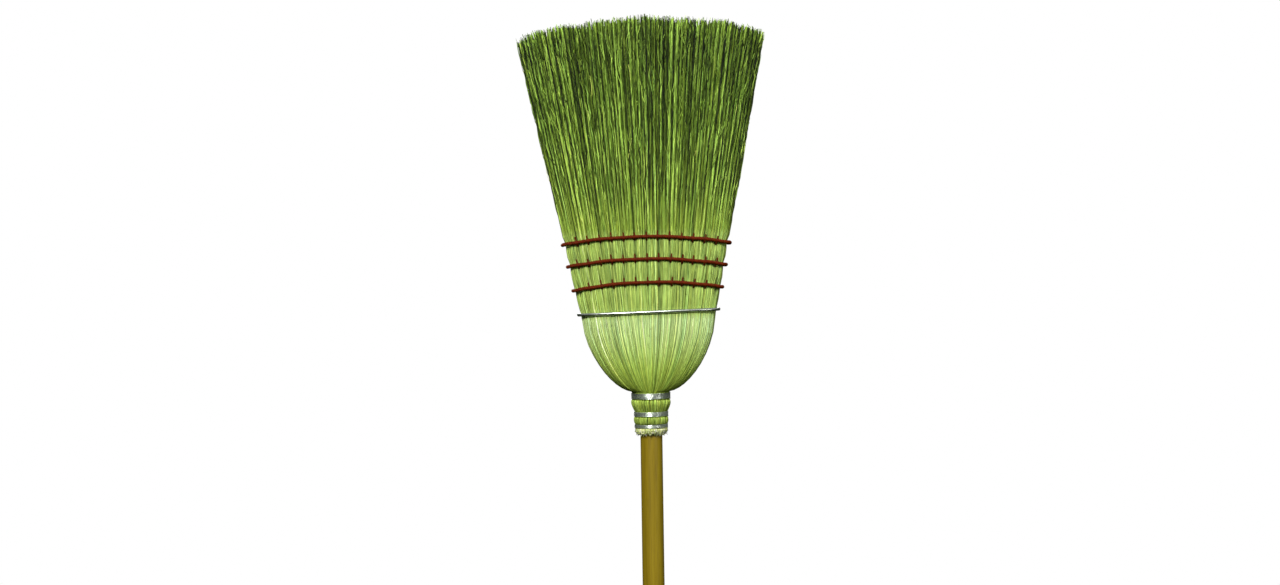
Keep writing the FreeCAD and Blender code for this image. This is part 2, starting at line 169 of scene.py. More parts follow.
def neck_profile():
    """Heights and radii of the neck: cut butts, three wire bands, two soft bulges."""
    heights = [BUTTS_Z + above for above in BUTTS_HEIGHTS]
    radii = [BUTTS_RADIUS * part for part in BUTTS_ROUNDING]
    for number, (low, high) in enumerate(BANDS):
        under = high.x - BAND_SEAT
        heights += [low.z - 0.2 * MM, high.z + 0.2 * MM]
        radii += [under, under]
        if number == len(BULGES):
            break
        # Between two bands the corn is flush with the wire and swells a little.
        top = BANDS[number + 1][0].z
        climb = np.linspace(0.1, 0.9, 11)
        flush = high.x + (BANDS[number + 1][1].x - high.x) * climb - 0.9 * MM
        swell = np.sin(math.pi * climb ** BULGE_LIFT[number])
        heights += list(high.z + (top - high.z) * climb)
        radii += list(flush + BULGES[number] * swell)
    heights.append(SHOULDER_Z)
    radii.append(NECK_RADIUS)
    return np.array(heights), np.array(radii)


NECK = neck_profile()


def half_width(z):
    """Half of the head's width at the heights z."""
    drop = np.clip((BOWL_TOP_Z - z) / (BOWL_TOP_Z - SHOULDER_Z), 0, 1)
    swell = (1 - drop ** BOWL_ROUNDNESS) ** (1 / BOWL_ROUNDNESS)
    bowl = NECK_RADIUS + (BOWL_HALF_WIDTH - NECK_RADIUS) * swell
    flare = FLARE * np.maximum(0, z - BOWL_TOP_Z)
    return np.where(z < SHOULDER_Z, np.interp(z, *NECK), bowl + flare)


def half_thickness(z):
    """Half of the head's thickness at the heights z."""
    climb = np.clip((z - SHOULDER_Z) / (THICKEST_Z - SHOULDER_Z), 0, 1)
    bowl = NECK_RADIUS + (BOWL_HALF_THICKNESS - NECK_RADIUS) * np.sin(climb * math.pi / 2)
    step = np.clip((z - THICKEST_Z) / (FLATTEST_Z - THICKEST_Z), 0, 1)
    step = step * step * (3 - 2 * step)
    waist = bowl + (STITCH_HALF_THICKNESS - BOWL_HALF_THICKNESS) * step
    climb = np.clip((z - FLATTEST_Z) / (TIPS_Z - FLATTEST_Z), 0, 1.1)
    flare = (TIP_HALF_THICKNESS - STITCH_HALF_THICKNESS) * climb ** 1.3
    return np.where(z < SHOULDER_Z, np.interp(z, *NECK), waist + flare)


def oval_power(z):
    """2 is an ellipse; the flare is a little squarer."""
    return 2 + SQUARENESS * np.clip((z - SHOULDER_Z) / (BOWL_TOP_Z - SHOULDER_Z), 0, 1)


def centre_x(z):
    """The head leans slightly to the left of the handle's axis."""
    return -LEAN * np.maximum(0, z - SHOULDER_Z)


def tip_z(x):
    """Height of the trimmed tips at a distance x from the middle of the fan."""
    notch = 1.5 * np.sin(x / (0.95 * MM) + 2 * np.sin(x / (5 * MM)))
    for height, length, phase in TRIM_WAVES:
        notch = notch + height * np.sin(x / length + phase)
    arch = TRIM_ARCH * np.abs((x - TRIM_SHIFT) / half_width(np.float64(TIPS_Z))) ** TRIM_POWER
    return TIPS_Z - TRIM - arch + notch * MM


def row_z(row, x):
    """Height of a stitch row at a distance x from the middle of the head."""
    wide = half_width(np.float64(ROW_Z[row]))
    return ROW_Z[row] - ROW_ARCH * (x / wide) ** 2 + ROW_TILT[row] * x


def crease(x, z):
    """How strongly a stitch gathers the straw at x, z: 0 is free straw, 1 is a stitch."""
    total = np.zeros(np.broadcast(x, z).shape)
    for row, (least, spread) in enumerate(CREASE_UP):
        wide = half_width(np.float64(ROW_Z[row]))
        across = x * wide / half_width(z)
        above = z - row_z(row, across)
        which = np.round(across / STITCH_SPACING)
        uneven = 0.5 + 0.5 * np.sin(2.4 * which + 1.9 * row)
        below = CREASE_DOWN[0] + CREASE_DOWN[1] * uneven
        reach = np.where(above > 0, least + spread * uneven, below) * MM
        near = np.minimum(1, 1.5 * np.exp(-np.abs(above) / reach))
        line = 0.5 + 0.5 * np.cos(2 * math.pi * across / STITCH_SPACING)
        total = np.maximum(total, near * line ** 18 * (np.abs(across) < wide * 0.95))
    return total


def head_point(angle, depth, z, stitched=True):
    """Points of the head: angle round it in radians, depth from 0, middle, to 1, outside."""
    power = oval_power(z)
    c = np.cos(angle)
    s = np.sin(angle)
    wide = half_width(z)
    thick = half_thickness(z)
    x = np.sign(c) * np.abs(c) ** (2 / power) * wide * depth
    y = np.sign(s) * np.abs(s) ** (2 / power) * thick * depth
    if stitched:
        pinch = np.zeros(x.shape)
        gather = np.zeros(x.shape)
        for row in range(len(ROW_Z)):
            above = z - row_z(row, x)
            pinch += np.exp(-(above / PINCH_REACH) ** 2)
            gather += np.exp(-(above / GATHER_REACH) ** 2)
        hooped = np.exp(-((z - HOOP_Z - HOOP_TILT * x) / HOOP_REACH) ** 2)
        pull = np.clip(pinch, 0, 1) * PINCH_DEPTH + hooped * HOOP_PINCH
        pull += CREASE_DEPTH * crease(x, z)
        y -= np.sign(y) * np.minimum(pull * depth, np.abs(y) * 0.6)
        x -= np.sign(c) * np.abs(c) ** 3 * pull * 0.6 * depth
        wave = np.sin(2 * math.pi * x / STITCH_SPACING)
        x += 0.8 * MM * wave * np.clip(gather, 0, 1)
    return np.stack([x + centre_x(z), y, z + 0 * x], axis=-1)


def clump(points):
    """Draws the loose straws together into locks, more and more towards the tips."""
    z = points[..., 2]
    y = points[..., 1]
    x = points[..., 0] - centre_x(z)
    home = x * half_width(np.float64(HOME_Z)) / half_width(z)
    grow = np.clip((z - ROW_Z[2]) / (TIPS_Z - ROW_Z[2]), 0, 1) ** 0.8
    shift = np.zeros(x.shape)
    for length, part in LOCKS:
        bend = 1.5 * np.sin(y / (9 * MM) + length / MM) + 0.8 * np.sin(z / (90 * MM) + length / MM)
        shift += part * LOCK_SIZE * np.sin(2 * math.pi * home / length + bend)
    points[..., 0] += shift * grow
    points[..., 1] += 0.6 * LOCK_SIZE * np.sin(2 * math.pi * home / (23 * MM) + 2) * grow


def tuck_in(points):
    """Brings stray points back to the head's outline, give or take a few millimetres."""
    z = points[..., 2]
    middle = centre_x(z)
    wide = half_width(z) + STRAY
    thick = half_thickness(z) + STRAY
    points[..., 0] = middle + np.clip(points[..., 0] - middle, -wide, wide)
    points[..., 1] = np.clip(points[..., 1], -thick, thick)


def even_angles(count, first, last, rng):
    """Angles between two angles in degrees, evenly spread along the head's outline."""
    fine = np.radians(np.linspace(first, last, 400))
    outline = head_point(fine, 1.0, np.full(len(fine), EVEN_Z), stitched=False)
    steps = np.linalg.norm(np.diff(outline, axis=0), axis=1)
    along = np.concatenate([[0], np.cumsum(steps)])
    wanted = (np.arange(count) + rng.uniform(0, 1, count)) / count * along[-1]
    return np.interp(wanted, along, fine)


# --- Mesh building --------------------------------------------------------------------

def add_object(name, data):
    """A new object in the scene."""
    made = bpy.data.objects.new(name, data)
    bpy.context.scene.collection.objects.link(made)
    return made


def paint(mesh, colours):
    """Gives each point of a mesh its own colour, which the materials read; for the straws it holds
    painted light and shade too.
    """
    tint = mesh.attributes.new("straw_colour_and_painted_shade", "FLOAT_COLOR", "POINT")
    rgba = np.concatenate([colours, np.ones((len(colours), 1))], axis=1)
    tint.data.foreach_set("color", rgba.astype(np.float32).ravel())


STRIPS_ACROSS = 240        # straws side by side in one row of the texture layout


class Strands:
    """Collects batches of thin closed tubes, with colours and a strip of UV for each."""

    def __init__(self):
        self.points = []
        self.colours = []
        self.quads = []
        self.caps = []
        self.quad_uvs = []
        self.cap_uvs = []
        self.count = 0
        self.shelves = []

    def add(self, paths, widths, colours, rng, sides=3, shelf=1.0, off=None):
        """paths (n, k, 3), widths (n, k) and colours (n, k, 3); shelf is a UV row's height.
        off is a direction that the paths never take; the tubes' sides are laid out from it."""
        n, k, _ = paths.shape
        along = np.gradient(paths, axis=1)
        along /= np.linalg.norm(along, axis=2, keepdims=True) + 1e-12
        if off is None:
            off = np.where(np.abs(along[..., 1:2]) > 0.8, [1.0, 0.0, 0.0], [0.0, 1.0, 0.0])
        first = np.cross(along, off)
        first /= np.linalg.norm(first, axis=2, keepdims=True) + 1e-12
        second = np.cross(along, first)
        phase = rng.uniform(0, 2 * math.pi, (n, 1))
        rings = []
        for side in range(sides):
            turn = phase + 2 * math.pi * side / sides
            spoke = np.cos(turn)[..., None] * first + np.sin(turn)[..., None] * second
            rings.append(paths + spoke * widths[..., None] / 2)
        self.points.append(np.stack(rings, axis=2).reshape(-1, 3))
        self.colours.append(np.repeat(colours.reshape(-1, 3), sides, axis=0))

        straw = np.arange(n)[:, None, None] * k * sides
        level = np.arange(k - 1)[None, :, None] * sides
        side = np.arange(sides)[None, None, :]
        here = self.count + straw + level + side
        there = self.count + straw + level + (side + 1) % sides
        quads = np.stack([here, there, there + sides, here + sides], axis=-1)
        self.quads.append(quads.reshape(-1, 4))
        ends = self.count + np.arange(n)[:, None] * k * sides
        low = ends + np.arange(sides)[::-1][None, :]
        high = ends + (k - 1) * sides + np.arange(sides)[None, :]
        self.caps.append((np.concatenate([low, high]), sides))
        self.count += n * k * sides
        self.shelve(n, k, sides, shelf)

    def shelve(self, n, k, sides, shelf):
        """Gives each straw of a batch its own narrow strip of UV."""
        index = np.arange(n)
        column = index % STRIPS_ACROSS
        row = index // STRIPS_ACROSS
        base = sum(self.shelves)
        left = (column + 0.15) / STRIPS_ACROSS
        right = (column + 0.85) / STRIPS_ACROSS
        low = base + (row + 0.04) * shelf
        high = base + (row + 0.96) * shelf
        self.shelves.append((int(row.max()) + 1) * shelf)
        t = np.linspace(0, 1, k)
        v = low[:, None] + (high - low)[:, None] * t[None, :]
        uv = np.zeros((n, k - 1, sides, 4, 2))
        uv[..., 0, 0] = left[:, None, None]
        uv[..., 1, 0] = right[:, None, None]
        uv[..., 2, 0] = right[:, None, None]
        uv[..., 3, 0] = left[:, None, None]
        uv[..., 0, 1] = v[:, :-1, None]
        uv[..., 1, 1] = v[:, :-1, None]
        uv[..., 2, 1] = v[:, 1:, None]
        uv[..., 3, 1] = v[:, 1:, None]
        self.quad_uvs.append(uv.reshape(-1, 2))
        spread = np.linspace(0, 1, sides)
        across = left[:, None] + (right - left)[:, None] * spread[None, :]
        bend = 0.02 * shelf * np.sin(spread * math.pi)
        for edge, way in ((low, -1), (high, 1)):
            lift = edge[:, None] + way * bend[None, :]
            self.cap_uvs.append(np.stack([across, lift], axis=-1).reshape(-1, 2))

    def build(self, name, material):
        """One mesh object of everything collected."""
        points = np.concatenate(self.points).astype(np.float32)
        colours = np.concatenate(self.colours)
        quads = np.concatenate(self.quads)
        loops = [quads.ravel()]
        sizes = [np.full(len(quads), 4)]
        for caps, sides in self.caps:
            loops.append(caps.ravel())
            sizes.append(np.full(len(caps), sides))
        loops = np.concatenate(loops)
        sizes = np.concatenate(sizes)
        mesh = bpy.data.meshes.new(name)
        mesh.vertices.add(len(points))
        mesh.vertices.foreach_set("co", points.ravel())
        mesh.loops.add(len(loops))
        mesh.loops.foreach_set("vertex_index", loops.astype(np.int32))
        mesh.polygons.add(len(sizes))
        starts = np.concatenate([[0], np.cumsum(sizes)[:-1]])
        mesh.polygons.foreach_set("loop_start", starts.astype(np.int32))
        mesh.polygons.foreach_set("use_smooth", np.ones(len(sizes), bool))
        layer = mesh.uv_layers.new(name="OFBake")
        uvs = np.concatenate(self.quad_uvs + self.cap_uvs)
        uvs[:, 1] /= max(1e-9, sum(self.shelves))
        layer.data.foreach_set("uv", uvs.astype(np.float32).ravel())
        paint(mesh, colours)
        mesh.update(calc_edges=True)
        mesh.validate()
        mesh.materials.append(material)
        return add_object(name, mesh)


def settle(piece, slot, *nodes):
    """A finished piece rides on the broom and stands for its CAD nodes."""
    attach(piece, "root")
    if nodes:
        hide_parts(*nodes)


# --- Materials ------------------------------------------------------------------------

def srgb(red, green, blue):
    """Linear colour of an 8-bit one."""
    values = np.array([red, green, blue]) / 255
    return np.where(values <= 0.04045, values / 12.92, ((values + 0.055) / 1.055) ** 2.4)


def new_material(name, roughness=0.5):
    """A material, its node tree and its Principled shader."""
    material = bpy.data.materials.new(name)
    material.use_nodes = True
    tree = material.node_tree
    shader = tree.nodes["Principled BSDF"]
    shader.inputs["Roughness"].default_value = roughness
    return material, tree, shader


def node(tree, kind, **settings):
    """A new node with its properties and input values set."""
    made = tree.nodes.new(kind)
    for key, value in settings.items():
        if hasattr(made, key):
            setattr(made, key, value)
        else:
            made.inputs[key.replace("_", " ")].default_value = value
    return made


def stretched_noise(tree, scale, detail, stretch):
    """Noise in the object's own space, stretched along the handle."""
    place = node(tree, "ShaderNodeTexCoord")
    mapping = node(tree, "ShaderNodeMapping")
    mapping.inputs["Scale"].default_value = (1, 1, 1 / stretch)
    noise = node(tree, "ShaderNodeTexNoise", Scale=scale, Detail=detail)
    tree.links.new(place.outputs["Object"], mapping.inputs["Vector"])
    tree.links.new(mapping.outputs["Vector"], noise.inputs["Vector"])
    return noise


def ramp(tree, source, stops):
    """Colour ramp from a value; stops are (position, linear colour)."""
    made = node(tree, "ShaderNodeValToRGB")
    elements = made.color_ramp.elements
    for i, (position, colour) in enumerate(stops):
        spot = elements[i] if i < 2 else elements.new(position)
        spot.position = position
        spot.color = (*colour, 1)
    tree.links.new(source, made.inputs["Fac"])
    return made


def vary_roughness(tree, shader, source, low, high):
    """Roughness from low to high, as a value goes from 0 to 1."""
    made = node(tree, "ShaderNodeMapRange")
    made.inputs["To Min"].default_value = low
    made.inputs["To Max"].default_value = high
    tree.links.new(source, made.inputs["Value"])
    tree.links.new(made.outputs["Result"], shader.inputs["Roughness"])


def bump(tree, shader, source, strength, distance):
    """Bump from a height value."""
    made = node(tree, "ShaderNodeBump")
    made.inputs["Strength"].default_value = strength
    made.inputs["Distance"].default_value = distance
    tree.links.new(source, made.inputs["Height"])
    tree.links.new(made.outputs["Normal"], shader.inputs["Normal"])


def multiply(tree, first, second, amount=1.0):
    """Two colours multiplied."""
    mix = node(tree, "ShaderNodeMix", data_type="RGBA", blend_type="MULTIPLY")
    mix.inputs["Factor"].default_value = amount
    tree.links.new(first, mix.inputs["A"])
    tree.links.new(second, mix.inputs["B"])
    return mix.outputs["Result"]


def straw_material():
    """Dry broomcorn: each straw has its own tint, with painted light and shade from its points'
    colours, fine streaks, specks and a soft gloss.
    """
    material, tree, shader = new_material("broomcorn_straw", 0.5)
    tint = node(tree, "ShaderNodeAttribute", attribute_name="straw_colour_and_painted_shade")
    lines = stretched_noise(tree, 900, 3, 14)
    shade = ramp(tree, lines.outputs["Fac"], (
        (0.25, (0.62, 0.62, 0.58)), (0.75, (1.25, 1.22, 1.2))))
    colour = multiply(tree, tint.outputs["Color"], shade.outputs["Color"])
    specks = stretched_noise(tree, 380, 4, 2)
    spots = ramp(tree, specks.outputs["Fac"], ((0.28, (0.5, 0.42, 0.3)), (0.36, (1, 1, 1))))
    colour = multiply(tree, colour, spots.outputs["Color"], 0.7)
    tree.links.new(colour, shader.inputs["Base Color"])
    vary_roughness(tree, shader, lines.outputs["Fac"], 0.42, 0.66)
    bump(tree, shader, lines.outputs["Fac"], 0.35, 0.3 * MM)
    shader.inputs["Specular IOR Level"].default_value = 0.15
    return material


def twine_material():
    """Dark red waxed twine, with fibres and darker grooves between its plies."""
    material, tree, shader = new_material("stitch_twine", 0.55)
    fibres = stretched_noise(tree, 1400, 4, 1)
    shade = ramp(tree, fibres.outputs["Fac"], (
        (0.25, srgb(50, 12, 0)), (0.5, srgb(88, 26, 0)), (0.8, srgb(118, 42, 0))))
    tint = node(tree, "ShaderNodeAttribute", attribute_name="straw_colour_and_painted_shade")
    colour = multiply(tree, shade.outputs["Color"], tint.outputs["Color"])
    tree.links.new(colour, shader.inputs["Base Color"])
    vary_roughness(tree, shader, fibres.outputs["Fac"], 0.45, 0.75)
    bump(tree, shader, fibres.outputs["Fac"], 0.5, 0.3 * MM)
    shader.inputs["Specular IOR Level"].default_value = 0.1
    return material


def wire_material(name, tone):
    """Galvanised wire: bright zinc with dull spangles and fine draw marks."""
    material, tree, shader = new_material(name, 0.3)
    shader.inputs["Metallic"].default_value = 1.0
    spangle = stretched_noise(tree, 500, 3, 1)
    shade = ramp(tree, spangle.outputs["Fac"], (
        (0.3, srgb(186, 194, 186) * tone), (0.55, srgb(222, 230, 216) * tone),
        (0.75, srgb(244, 248, 238) * tone)))
    tree.links.new(shade.outputs["Color"], shader.inputs["Base Color"])
    vary_roughness(tree, shader, spangle.outputs["Fac"], 0.2, 0.42)
    scratches = stretched_noise(tree, 2500, 2, 0.3)
    bump(tree, shader, scratches.outputs["Fac"], 0.12, 0.2 * MM)
    return material


def handle_material():
    """Lacquered hardwood: long golden grain, darker pores and a satin clear coat."""
    material, tree, shader = new_material("lacquered_wood", 0.4)
    grain = stretched_noise(tree, 130, 5, 22)
    grain.inputs["Distortion"].default_value = 0.6
    shade = ramp(tree, grain.outputs["Fac"], (
        (0.25, srgb(106, 88, 1)), (0.5, srgb(126, 106, 2)), (0.78, srgb(141, 122, 5))))
    pores = stretched_noise(tree, 1500, 2, 40)
    dark = ramp(tree, pores.outputs["Fac"], ((0.3, (0.62, 0.56, 0.48)), (0.45, (1, 1, 1))))
    colour = multiply(tree, shade.outputs["Color"], dark.outputs["Color"], 0.6)
    wear = stretched_noise(tree, 14, 4, 3)
    scuffs = ramp(tree, wear.outputs["Fac"], (
        (0.35, (0.86, 0.85, 0.84)), (0.65, (1.05, 1.04, 1.0))))
    colour = multiply(tree, colour, scuffs.outputs["Color"])
    tree.links.new(colour, shader.inputs["Base Color"])
    vary_roughness(tree, shader, wear.outputs["Fac"], 0.32, 0.5)
    bump(tree, shader, pores.outputs["Fac"], 0.15, 0.2 * MM)
    shader.inputs["Coat Weight"].default_value = 0.1
    shader.inputs["Coat Roughness"].default_value = 0.22
    return material


# --- Straw ----------------------------------------------------------------------------

BUTT_CREAM = srgb(222, 238, 152)
NECK_GREEN = srgb(152, 176, 72)
# Painted shade: the shoulder's green is darker where the bowl turns down towards the neck.
SHOULDER_GREEN_PAINTED_SHADE = srgb(118, 140, 45)
BELLY_GREEN = srgb(156, 183, 76)
# Painted sheen: the bowl's green just under the hoop is paler.
BOWL_GREEN_PAINTED_SHEEN = srgb(182, 208, 134)
STITCH_GREEN = srgb(155, 181, 86)
LOOSE_GREEN = srgb(140, 168, 62)
SWEEP_GREEN = srgb(110, 138, 44)
TIP_GREEN = srgb(86, 112, 31)
# Random painted light and shade for the streaks. Every third one is a painted dark gap between two
# lighter straws.
SWEEP_COLUMNS = 512
SWEEP_ROWS = 24
SWEEP_PAINTED_LIGHT_AND_SHADE = rng_for(99).normal(0, 0.55, (SWEEP_COLUMNS, SWEEP_ROWS))
SWEEP_PAINTED_LIGHT_AND_SHADE += np.where(np.arange(SWEEP_COLUMNS) % 3 == 0, -2.2, 0.5)[:, None]


def streaks(points):
    """Painted light and shade of the sweep, as a logarithm of brightness: random streaks along the
    straw.
    """
    z = points[..., 2]
    home = (points[..., 0] - centre_x(z)) * half_width(np.float64(HOME_Z)) / half_width(z)
    uneven = 0.9 * np.sin(home / (11 * MM)) + 0.6 * np.sin(home / (4.7 * MM) + 1)
    back = points[..., 1] > 0
    column = home / STREAK + SWEEP_COLUMNS // 2 + uneven + 1.5 * np.sin(z / (80 * MM)) * back
    row = (z - 1.0) / STREAK_LENGTH + 2 + np.floor(column) * 0.37 % 1
    low_column = np.floor(column).astype(int) % (SWEEP_COLUMNS - 1)
    low_row = np.clip(np.floor(row).astype(int), 0, SWEEP_ROWS - 2)
    rise = row - np.floor(row)

    def along(number):
        return SWEEP_PAINTED_LIGHT_AND_SHADE[number, low_row] * (1 - rise) + SWEEP_PAINTED_LIGHT_AND_SHADE[number, low_row + 1] * rise

    part = np.clip((column % 1 - 0.5) * 2 + 0.5, 0, 1)
    return along(low_column) * (1 - part) + along(low_column + 1) * part


def straw_colours(points, rng, painted_shading=None):
    """Colour along each straw: the height's green, with a tint of its own per straw, painted streaks
    of light and shade, and the painted shading passed in.
    """
    n = len(points)
    z = points[..., 2]
    heights = np.array([
        BUTTS_Z, BUTTS_Z + 9 * MM, BUTTS_Z + 14 * MM, SHOULDER_Z - 4 * MM, SHOULDER_Z,
        SHOULDER_Z + 30 * MM, HOOP_Z - 11 * MM, HOOP_Z, ROW_Z[0], ROW_Z[2], ROW_Z[2] + 8 * MM,
        ROW_Z[2] + 50 * MM, DARKEST_Z, TIPS_Z])
    greens = np.array([
        BUTT_CREAM, BUTT_CREAM * 0.9, NECK_GREEN * 0.84, NECK_GREEN * 1.05, SHOULDER_GREEN_PAINTED_SHADE,
        BELLY_GREEN, BOWL_GREEN_PAINTED_SHEEN, STITCH_GREEN, STITCH_GREEN, STITCH_GREEN,
        LOOSE_GREEN, SWEEP_GREEN, TIP_GREEN * 1.15, TIP_GREEN])
    base = np.stack([np.interp(z, heights, greens[:, c]) for c in range(3)], axis=-1)
    loose = np.clip((z - ROW_Z[2]) / (60 * MM), 0, 1)
    butts = np.clip((BUTTS_Z + 10 * MM - z) / (4 * MM), 0, 1)
    # Each straw's own random tone. In the sweep it spreads wider and its darkest straws stand for
    # straws in shadow, so there it is partly painted shade. The streaks are painted light and shade.
    own = rng.normal(0, 1, (n, 1)) * (0.28 + 0.37 * loose + 0.25 * butts)
    shade = own + streaks(points) * (0.05 + 0.90 * loose) - 0.20 * loose
    light = np.clip(np.exp(shade), 0.04, 3.6)[..., None]
    # Painted sheen: the brightest straws are made paler and less yellow.
    pale = np.clip(light - 1, 0, 1.5)
    yellow = rng.normal(0, 0.05, (n, 1, 1))
    tint = np.concatenate([1 + 1.3 * yellow, 1 + 0.2 * yellow, 1 - 0.9 * yellow], axis=2)
    tint = tint * (1 + pale * np.array([0.0, -0.06, 0.42]))
    ripple = 1 + 0.10 * np.sin(z / (11 * MM) + rng.uniform(0, 6.28, (n, 1)))[..., None]
    colours = base * light * tint * ripple
    if painted_shading is not None:
        colours = colours * painted_shading[..., None]
    return np.clip(colours, 0.003, 0.85)


def crimp(z, start, rng, wide, fine):
    """Sideways wander of the straws, growing from the height start towards the tips."""
    n, k = z.shape
    grow = np.clip((z - start) / (TIPS_Z - start), 0, 1)
    wander = np.zeros((n, k, 2))
    for length, size in ((150 * MM, wide), (62 * MM, wide * 0.45), (27 * MM, fine)):
        for axis in range(2):
            phase = rng.uniform(0, 2 * math.pi, (n, 1))
            stretch = rng.uniform(0.75, 1.3, (n, 1))
            amount = rng.normal(0, size, (n, 1))
            wander[..., axis] += amount * np.sin(2 * math.pi * z / (length * stretch) + phase) * grow
    return wander


def loosen(points, rng, start, wide, fine, depth_part):
    """Lets straws wander and form locks above the height start, by depth_part as much in y."""
    wander = crimp(points[..., 2], start, rng, wide, fine)
    points[..., 0] += wander[..., 0]
    points[..., 1] += wander[..., 1] * depth_part
    clump(points)
    tuck_in(points)


def stations_between(low, high, fractions):
    """Heights (n, k) from the arrays low and high."""
    return low[:, None] + (high - low)[:, None] * fractions[None, :]


def cover_straws(strands, rng, first, last, count):
    """Long straws from under the top wire band, over the bowl and out to the tips."""
    angle = even_angles(count, first, last, rng)
    depth = 1 - 0.085 * rng.uniform(0, 1, count) ** 1.5
    bowl = SHOULDER_Z + (BOWL_TOP_Z - SHOULDER_Z) * np.linspace(0, 1, 11) ** 1.9
    stitched = np.linspace(BOWL_TOP_Z, ROW_Z[2] + 20 * MM, 15)[1:]
    fixed = np.concatenate([[COVER_FOOT_Z, SHOULDER_Z - 2 * MM], bowl, stitched])
    loose = np.linspace(0, 1, 12)[1:]
    foot = np.full(count, fixed[-1])
    spread = np.cos(angle) * half_width(np.float64(SPREAD_Z))
    top = tip_z(spread) - np.abs(rng.normal(0, 7 * MM, count)) + 2 * MM
    z = np.concatenate([np.repeat(fixed[None, :], count, 0), stations_between(foot, top, loose)], 1)
    drift = rng.normal(0, 0.012, (count, 1)) * np.clip((z - 0.98) / 0.3, 0, 1)
    points = head_point(angle[:, None] + drift, depth[:, None], z)
    loosen(points, rng, start=0.95, wide=1.0 * MM, fine=0.5 * MM, depth_part=0.6)
    size = rng.uniform(0.8, 1.6, (count, 1)) * MM
    widths = size * np.interp(z, *COVER_TAPER)
    # Painted shade: darker in the creases where the stitches gather the straw, and darker for straws
    # that lie deeper.
    dark = 1 - 0.82 * crease(points[..., 0] - centre_x(z), z)
    dark = dark * (0.45 + 0.55 * np.clip((depth[:, None] - 0.915) / 0.06, 0, 1))
    strands.add(points, widths, straw_colours(points, rng, dark), rng)


def sweep_straws(strands, rng, first, last, count, shallow, deep, lowest, bends):
    """Straws that leave the bound head and fill the loose sweep, between two depths.
    lowest is where the lowest of them start, and bends the points along each."""
    angle = even_angles(count, first, last, rng)
    depth = np.sqrt(rng.uniform(deep ** 2, shallow ** 2, count))
    spread = np.cos(angle) * half_width(np.float64(SPREAD_Z)) * depth
    top = tip_z(spread) - np.abs(rng.normal(0, 8 * MM, count)) + 2 * MM
    short = rng.uniform(0, 1, count) < 0.16
    top = np.where(short, top - rng.uniform(15, 110, count) * MM, top)
    foot = rng.uniform(lowest, lowest + 70 * MM, count)
    climb = np.linspace(0, 1, bends) ** 0.9
    z = stations_between(foot, top, climb)
    out = np.clip((z - foot[:, None]) / (90 * MM), 0, 1)
    inward = (1 - out) * 0.10
    drift = rng.normal(0, 0.03, (count, 1)) * np.clip((z - 1.10) / 0.3, 0, 1)
    points = head_point(angle[:, None] + drift, depth[:, None] * (1 - inward), z)
    loosen(points, rng, start=1.02, wide=2.4 * MM, fine=0.8 * MM, depth_part=0.7)
    size = rng.uniform(0.9, 1.9, (count, 1)) * MM
    widths = size * np.interp(z, *SWEEP_TAPER)
    # Painted shade: the deeper a straw lies in the sweep, the darker it is, and darker still in the
    # stitches' creases.
    dark = 0.10 + 0.90 * np.clip((depth[:, None] - 0.86) / 0.10, 0, 1) ** 1.6
    dark = dark * (1 - 0.6 * crease(points[..., 0] - centre_x(z), z))
    # Deep in the sweep the straws get painted shade, and their cut ends get painted light.
    ends = np.clip(1 - (top[:, None] - z) / (30 * MM), 0, 1) ** 1.5
    dark = np.maximum(dark, 0.9 * ends) * (1 + 0.5 * ends ** 2)
    colours = straw_colours(points, rng, dark)
    strands.add(points, widths, colours, rng, shelf=0.5)
    return points, colours


def branchlets(strands, rng, parents, colours, count):
    """Short fine side hairs that make the sweep frizzy towards its tips."""
    n, k, _ = parents.shape
    who = rng.integers(0, n, count)
    where = (k - 1) * (0.35 + 0.62 * rng.uniform(0, 1, count) ** 0.7)
    low = np.minimum(where.astype(int), k - 2)
    part = (where - low)[:, None]
    foot = parents[who, low] * (1 - part) + parents[who, low + 1] * part
    along = parents[who, low + 1] - parents[who, low]
    along /= np.linalg.norm(along, axis=1, keepdims=True)
    turn = rng.uniform(0, 2 * math.pi, count)
    side = np.stack([np.cos(turn), 0.7 * np.sin(turn), 0.1 * np.sin(turn)], axis=1)
    length = rng.uniform(9, 34, count) * MM
    room = tip_z(foot[:, 0] - centre_x(foot[:, 2])) + 3 * MM - foot[:, 2]
    length = np.clip(np.minimum(length, room), 3 * MM, None)[:, None, None]
    lean = rng.uniform(0.10, 0.34, (count, 1))
    t = np.linspace(0, 1, 5)[None, :, None]
    bend = rng.normal(0, 0.10, (count, 1, 3))
    way = along[:, None, :] * t + side[:, None, :] * lean[:, None] * (1.3 * t - 0.45 * t ** 2)
    points = foot[:, None, :] + length * (way + bend * t * (1 - t))
    widths = rng.uniform(0.55, 1.0, (count, 1)) * MM * np.array([1, 0.95, 0.85, 0.7, 0.4])[None, :]
    tone = colours[who, low][:, None, :] * np.exp(rng.normal(0.1, 0.35, (count, 1, 1)))
    tuck_in(points)
    strands.add(points, widths, np.clip(np.repeat(tone, 5, 1), 0.003, 0.85), rng, shelf=0.08)


